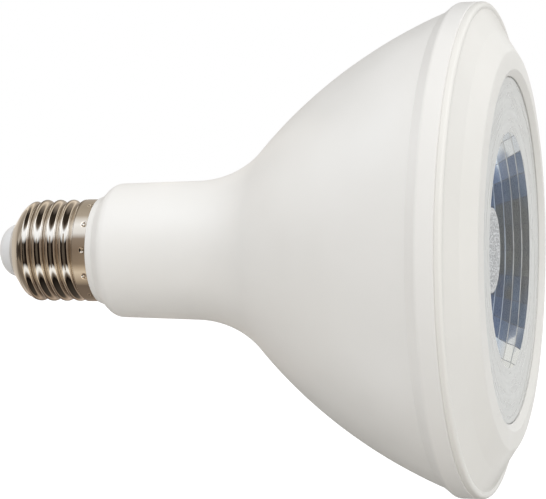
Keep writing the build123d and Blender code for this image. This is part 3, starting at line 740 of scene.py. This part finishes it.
def lens_cover():
    """A flat disc with a chamfered edge, turned about the axis."""
    chamfer = 0.3 * MM
    turn_steps = 160
    outline = np.array([
        (lens_back_x, 0),
        (lens_back_x, lens_r - chamfer),
        (lens_back_x + chamfer, lens_r),
        (lens_face_x - chamfer, lens_r),
        (lens_face_x, lens_r - chamfer),
        (lens_face_x, 0),
    ])
    surface("lens_cover", turned(outline, turn_steps), clear_cover, "front_lens")


def lens_border():
    """A pale frosted band on the cover round its clear window: fine rings, as a wave over the radius."""
    low_r = window_r
    high_r = 42.5 * MM
    lift = 0.02 * MM
    height = 0.10 * MM
    ripple = 0.014 * MM
    ring_pitch = 1.35 * MM
    edge_width = 0.3 * MM
    radius_steps = 120
    turn_steps = 240
    radius = np.linspace(high_r, low_r, radius_steps)
    edge = np.clip(np.minimum(radius - low_r, high_r - radius) / edge_width, 0, 1)
    top = lens_face_x + lift + height * edge + ripple * edge * np.cos(2 * pi * radius / ring_pitch)
    outline = np.vstack([
        np.column_stack([top, radius]),
        [(lens_face_x + lift / 2, low_r), (lens_face_x + lift / 2, high_r)],
    ])
    surface("lens_border", turned(outline, turn_steps), frosted_border)


def facet_bowl():
    """A parabola in rows and columns of facets. Each facet is a patch between four corners whose radii differ
    a little from facet to facet, partly flattened between its side edges, and a fine rounded ridge runs
    between the rows and between the columns. The flange and the outside close the wall."""
    rows = BOWL_ROWS
    facets = BOWL_FACETS
    mouth_r = 34.5 * MM
    throat_r = 11.0 * MM
    wall = 1.6 * MM
    flange = 1.5 * MM
    flange_r = lens_r - 0.2 * MM
    uneven = 0.32 * MM
    flatness = 0.6
    ridge = 0.06 * MM
    side_ridge = 0.04 * MM
    ridge_width = 0.07 * MM
    outside_skip = 7
    seed = 7
    crease = 6
    cuts = np.array([0, 0.02, 0.04, 0.07, 0.12, 0.3, 0.5, 0.7, 0.88, 0.93, 0.96, 0.98])
    side_cuts = np.array([0, 0.01, 0.02, 0.25, 0.5, 0.75, 0.98, 0.99])
    focal = (mouth_r**2 - throat_r**2) / (4 * BOWL_DEPTH)
    start = throat_r**2 / (4 * focal)
    row_place = np.append((np.arange(rows)[:, None] + cuts).ravel(), rows)
    column_place = (np.arange(facets)[:, None] + side_cuts).ravel()
    row = np.minimum(row_place.astype(int), rows - 1)
    column = column_place.astype(int)
    v = (row_place - row)[:, None]
    u = (column_place - column)[None, :]
    corner = np.random.default_rng(seed).uniform(-uneven, uneven, (rows + 1, facets))
    corner = np.hstack([corner, corner[:, :1]])
    low = corner[row][:, column] * (1 - u) + corner[row][:, column + 1] * u
    high = corner[row + 1][:, column] * (1 - u) + corner[row + 1][:, column + 1] * u
    x = led_board_x + BOWL_DEPTH * row_place / rows
    base = np.sqrt(4 * focal * (start + x - led_board_x))
    half = pi / facets
    chord = 1 - flatness * (1 - cos(half) / np.cos((u - 0.5) * 2 * half))
    to_edge = np.minimum(v, 1 - v) * BOWL_DEPTH / rows
    to_side = np.minimum(u, 1 - u) * 2 * half * base[:, None]
    radius = base[:, None] * chord + low * (1 - v) + high * v
    radius = radius - ridge * np.exp(-((to_edge / ridge_width) ** 2))
    radius = radius - side_ridge * np.exp(-((to_side / ridge_width) ** 2))
    turn = 2 * pi * column_place / facets
    across = np.repeat(x[:, None], len(turn), axis=1)
    bowl = np.stack([across, radius * np.cos(turn), radius * np.sin(turn)], axis=-1)
    outside = np.column_stack([x, base + wall])[::-outside_skip]
    flange_x = reflector_front_x - flange
    rest = np.vstack([
        (reflector_front_x, flange_r),
        (flange_x, flange_r),
        (flange_x, mouth_r + wall),
        outside[outside[:, 0] < flange_x],
    ])
    grid = np.concatenate([bowl, carried(rest, turn)])[::-1]
    surface("facet_bowl", grid, bright_facets, "reflector", crease=crease)


def beaded_collimator():
    """A cone on a foot ring, turned about the axis; its top is a close lattice of beads, the mean of three
    waves at 60 degrees to each other, faded out at the edge."""
    top_r = 10.6 * MM
    flat_r = top_r - 0.5 * MM
    foot_r = 10.4 * MM
    foot_in = 8.9 * MM
    foot_x = led_board_x + 1.6 * MM
    bead = 0.7 * MM
    height = 0.2 * MM
    bead_r = top_r - 0.8 * MM
    fade_width = 0.6 * MM
    wave_low, wave_span = -0.5, 1.5
    top_round = 0.4 * MM
    foot_round = 0.2 * MM
    radius_steps = 110
    turn_steps = 420
    radius = np.linspace(0, flat_r, radius_steps)
    turn = even_turn(turn_steps)
    y = radius[:, None] * np.cos(turn)
    z = radius[:, None] * np.sin(turn)
    wave = sum(np.cos(2 * pi / bead * (y * cos(a) + z * sin(a))) for a in (0, pi / 3, 2 * pi / 3)) / 3
    fade = np.clip((bead_r - radius) / fade_width, 0, 1)[:, None]
    dip = 1 - np.clip(wave - wave_low, 0, wave_span) / wave_span
    top_x = collimator_top_x - height * dip * fade
    top = np.stack([top_x, y, z], axis=-1)
    outline = rounded([
        (collimator_top_x, flat_r, 0),
        (collimator_top_x, top_r, top_round),
        (foot_x, foot_r, foot_round),
        (led_board_x, foot_r, 0),
        (led_board_x, foot_in, 0),
        (foot_x, foot_in, 0),
        (foot_x, 0, 0),
    ])[1:]
    grid = np.concatenate([top, carried(outline, turn)])[::-1]
    surface("beaded_collimator", grid, beaded_lens, "collimator_lens", close_rows=False)


cap_shell()
cap_nose()
cap_contact()
housing_body()
front_bezel()
lens_cover()
lens_border()
facet_bowl()
beaded_collimator()


# Studio: a pale floor, soft light from above, a white surround, and cards that only reflections see

def bare_material(name):
    """A material with only its output node."""
    material = bpy.data.materials.new(name)
    material.use_nodes = True
    tree = material.node_tree
    tree.nodes.remove(tree.nodes["Principled BSDF"])
    return material, tree, tree.nodes["Material Output"].inputs["Surface"]


def seen_white(tree):
    """One for camera, glossy and transmission rays, and zero for the rest."""
    path = tree.nodes.new("ShaderNodeLightPath")
    first = math_node(tree, "MAXIMUM", path.outputs["Is Camera Ray"], path.outputs["Is Glossy Ray"])
    return math_node(tree, "MAXIMUM", first, path.outputs["Is Transmission Ray"])


def floor():
    """A wide pale floor under the lamp: white to the eye, greyer in the light that it throws back."""
    thrown_back = (0.66, 0.645, 0.62, 1)
    to_the_eye = (0.92, 0.92, 0.92, 1)
    lift = 0.16
    half = 30.0
    z = -0.085
    material, tree, surface_in = bare_material("studio_floor")
    seen = seen_white(tree)
    matt = tree.nodes.new("ShaderNodeBsdfDiffuse")
    glow = tree.nodes.new("ShaderNodeEmission")
    both = tree.nodes.new("ShaderNodeAddShader")
    tree.links.new(mix_colours(tree, "MIX", seen, thrown_back, to_the_eye), matt.inputs["Color"])
    tree.links.new(math_node(tree, "MULTIPLY", seen, lift), glow.inputs["Strength"])
    tree.links.new(matt.outputs["BSDF"], both.inputs[0])
    tree.links.new(glow.outputs["Emission"], both.inputs[1])
    tree.links.new(both.outputs["Shader"], surface_in)
    corners = [(-half, -half, z), (half, -half, z), (half, half, z), (-half, half, z)]
    piece = new_object("floor", corners, [(0, 1, 2, 3)], material)


def reflections_only(piece):
    """Makes a stage piece that neither the camera nor the light on the object sees."""
    piece.visible_camera = False
    piece.visible_diffuse = False
    piece.visible_shadow = False


def back_card(name, low_y, high_y, colour, strength):
    """An upright card behind the cap that only mirrors and glass see."""
    x = -0.36
    half = 0.3
    material, tree, surface_in = bare_material(name)
    glow = add_node(tree, "ShaderNodeEmission", Color=(*colour, 1), Strength=strength)
    tree.links.new(glow.outputs["Emission"], surface_in)
    corners = [(x, low_y, -half), (x, high_y, -half), (x, high_y, half), (x, low_y, half)]
    reflections_only(new_object(name, corners, [(0, 1, 2, 3)], material))


def sleeve(name, radius, low_x, high_x, reach, around, along):
    """A tube about the lamp's axis that only reflections see, open behind where its reach is under 180
    degrees.

    Its colour is one ramp over the angle up from the camera's side, times one over the distance along the
    axis."""
    steps = 96
    material, tree, surface_in = bare_material(name)
    place = tree.nodes.new("ShaderNodeTexCoord")
    split = tree.nodes.new("ShaderNodeSeparateXYZ")
    tree.links.new(place.outputs["Object"], split.inputs["Vector"])
    front = math_node(tree, "MULTIPLY", split.outputs["Y"], -1.0)
    angle = math_node(tree, "MULTIPLY", math_node(tree, "ARCTAN2", split.outputs["Z"], front), 180 / pi)
    both = tree.nodes.new("ShaderNodeVectorMath")
    both.operation = "MULTIPLY"
    tree.links.new(stops_ramp(tree, angle, around), both.inputs[0])
    tree.links.new(stops_ramp(tree, split.outputs["X"], along), both.inputs[1])
    glow = add_node(tree, "ShaderNodeEmission", Strength=1.0)
    tree.links.new(both.outputs["Vector"], glow.inputs["Color"])
    tree.links.new(glow.outputs["Emission"], surface_in)
    turn = np.radians(np.linspace(-reach, reach, steps + 1))
    ends = [np.column_stack([np.full(steps + 1, x), -radius * np.cos(turn), radius * np.sin(turn)])
            for x in (low_x, high_x)]
    faces = [(i, i + 1, steps + 2 + i, steps + 1 + i) for i in range(steps)]
    reflections_only(new_object(name, np.vstack(ends).tolist(), faces, material))


# Where the sleeves meet, as distances along the axis, and their radii
SIDE_LOW_X = -0.35
CAP_LOW_X = -0.05
CAP_HIGH_X = 0.034
FRONT_HIGH_X = 0.135
GLEAM_LOW_X = 0.102
GLEAM_HIGH_X = 0.132
HOOD_LOW_X = 0.142
HOOD_HIGH_X = 0.62
CAP_SLEEVE_R = 0.075
GLEAM_R = 0.072
HOOD_R = 0.078

# Light in the sleeves, as (angle or distance, red, green, blue). Around is in degrees up from the camera's
# side, and along in metres.
EVEN = [(0, 1.0, 1.0, 1.0), (1, 1.0, 1.0, 1.0)]
CAP_AROUND = [
    (-180, 0.42, 0.36, 0.31),
    (-160, 0.42, 0.36, 0.31),
    (-126, 0.25, 0.20, 0.16),
    (-80, 0.20, 0.16, 0.13),
    (-68, 0.48, 0.40, 0.31),
    (-46, 0.90, 0.80, 0.66),
    (-37, 0.66, 0.56, 0.44),
    (-28, 0.37, 0.30, 0.23),
    (0, 0.29, 0.23, 0.18),
    (24, 0.38, 0.32, 0.27),
    (36, 1.06, 1.10, 1.15),
    (55, 1.28, 1.34, 1.42),
    (68, 0.98, 0.98, 0.98),
    (78, 0.60, 0.55, 0.48),
    (106, 0.50, 0.45, 0.38),
    (140, 0.52, 0.47, 0.41),
    (180, 0.46, 0.41, 0.36),
]
CAP_ALONG = [
    (CAP_LOW_X, 1.90, 1.95, 2.00),
    (-0.034, 1.90, 1.95, 2.00),
    (-0.026, 0.45, 0.42, 0.40),
    (-0.009, 0.45, 0.42, 0.40),
    (-0.003, 1.00, 1.00, 1.00),
    (0.012, 1.00, 1.00, 1.00),
    (0.022, 2.10, 2.10, 2.10),
    (CAP_HIGH_X, 0.90, 0.90, 0.90),
]
SIDE_AROUND = [
    (-180, 0.72, 0.66, 0.58),
    (-140, 0.66, 0.60, 0.53),
    (-118, 0.34, 0.30, 0.25),
    (-80, 0.24, 0.20, 0.165),
    (-62, 0.30, 0.25, 0.20),
    (-46, 0.32, 0.27, 0.22),
    (-28, 0.09, 0.075, 0.06),
    (0, 0.05, 0.04, 0.032),
    (24, 0.09, 0.075, 0.06),
    (40, 0.55, 0.52, 0.48),
    (58, 0.62, 0.59, 0.55),
    (76, 0.40, 0.36, 0.31),
    (118, 0.42, 0.38, 0.33),
    (140, 0.64, 0.58, 0.51),
    (180, 0.72, 0.66, 0.58),
]
FRONT_AROUND = [
    (-150, 0.30, 0.27, 0.24),
    (-118, 0.08, 0.07, 0.06),
    (-70, 0.008, 0.006, 0.005),
    (-60, 0.30, 0.26, 0.22),
    (-52, 1.25, 1.30, 1.35),
    (-44, 1.40, 1.46, 1.52),
    (-32, 0.03, 0.02, 0.015),
    (-10, 0.012, 0.01, 0.008),
    (22, 0.02, 0.015, 0.012),
    (36, 1.18, 1.27, 1.38),
    (54, 1.36, 1.47, 1.62),
    (64, 0.30, 0.27, 0.24),
    (74, 0.05, 0.04, 0.03),
    (96, 0.03, 0.025, 0.02),
    (120, 0.35, 0.31, 0.27),
    (150, 0.55, 0.50, 0.44),
]
GLEAM_AROUND = [
    (-74, 0.03, 0.025, 0.02),
    (-62, 0.34, 0.29, 0.24),
    (-44, 0.34, 0.29, 0.24),
    (-30, 0.13, 0.11, 0.09),
    (24, 0.13, 0.11, 0.09),
    (38, 0.50, 0.45, 0.40),
    (62, 0.50, 0.45, 0.40),
    (74, 0.05, 0.04, 0.03),
]
HOOD_ALONG = [
    (0.140, 0.80, 0.80, 0.79),
    (0.191, 0.85, 0.85, 0.85),
    (0.195, 0.30, 0.34, 0.43),
    (0.210, 0.12, 0.16, 0.25),
    (0.245, 0.044, 0.085, 0.160),
    (0.290, 0.026, 0.052, 0.100),
    (0.340, 0.036, 0.042, 0.046),
    (0.440, 0.045, 0.046, 0.040),
    (0.500, 0.09, 0.10, 0.10),
    (HOOD_HIGH_X, 0.35, 0.35, 0.35),
]


def surround():
    """White to the eye, and an even soft light on the object."""
    light_on_object = 0.89
    to_the_eye = 1.0
    world = bpy.data.worlds.new("surround")
    bpy.context.scene.world = world
    world.use_nodes = True
    tree = world.node_tree
    level = add_node(tree, "ShaderNodeMapRange", To_Min=light_on_object, To_Max=to_the_eye)
    tree.links.new(seen_white(tree), level.inputs["Value"])
    tree.links.new(level.outputs["Result"], tree.nodes["Background"].inputs["Strength"])
    tree.nodes["Background"].inputs["Color"].default_value = (1, 1, 1, 1)


def soft_sun(name, energy, turn):
    """A wide soft lamp, far off in the direction that the turn about the three axes, in degrees, gives it."""
    width = 60
    lamp = bpy.data.lights.new(name, "SUN")
    lamp.energy = energy
    lamp.angle = radians(width)
    piece = bpy.data.objects.new(name, lamp)
    piece.rotation_euler = [radians(angle) for angle in turn]
    bpy.context.scene.collection.objects.link(piece)


def camera():
    """The photograph's view: level with the lamp's axis, from the lens side, with a long lens."""
    picture_width = 546
    focal_px = 2245.494
    sensor = 36.0
    lens = bpy.data.cameras.new("photo_camera")
    lens.sensor_fit = "HORIZONTAL"
    lens.sensor_width = sensor
    lens.lens = sensor * focal_px / picture_width
    lens.clip_start = 0.01
    piece = bpy.data.objects.new("photo_camera", lens)
    piece.location = (0.228389, -0.546817, 0.0002)
    piece.rotation_euler = (pi / 2, 0, 0.27619)
    bpy.context.scene.collection.objects.link(piece)
    bpy.context.scene.camera = piece


floor()
surround()
soft_sun("top_sun", 0.90, (54, 0, 26))
soft_sun("lens_sun", 0.26, (0, 42, 0))
camera()
sleeve("cap_side", CAP_SLEEVE_R, SIDE_LOW_X, CAP_LOW_X, 180, SIDE_AROUND, EVEN)
sleeve("cap_sleeve", CAP_SLEEVE_R, CAP_LOW_X, CAP_HIGH_X, 180, CAP_AROUND, CAP_ALONG)
sleeve("cap_front", CAP_SLEEVE_R, CAP_HIGH_X, FRONT_HIGH_X, 150, FRONT_AROUND, EVEN)
sleeve("cap_gleam", GLEAM_R, GLEAM_LOW_X, GLEAM_HIGH_X, 74, GLEAM_AROUND, EVEN)
sleeve("lens_hood", HOOD_R, HOOD_LOW_X, HOOD_HIGH_X, 180, EVEN, HOOD_ALONG)
back_card("back_near", -0.3, -0.045, (1, 0.8, 0.7), 0.1)
back_card("back_middle", -0.045, 0.02, (1, 0.85, 0.75), 0.08)
back_card("back_far", 0.02, 0.3, (1, 0.92, 0.81), 0.6)
bpy.context.scene.view_settings.view_transform = "Standard"
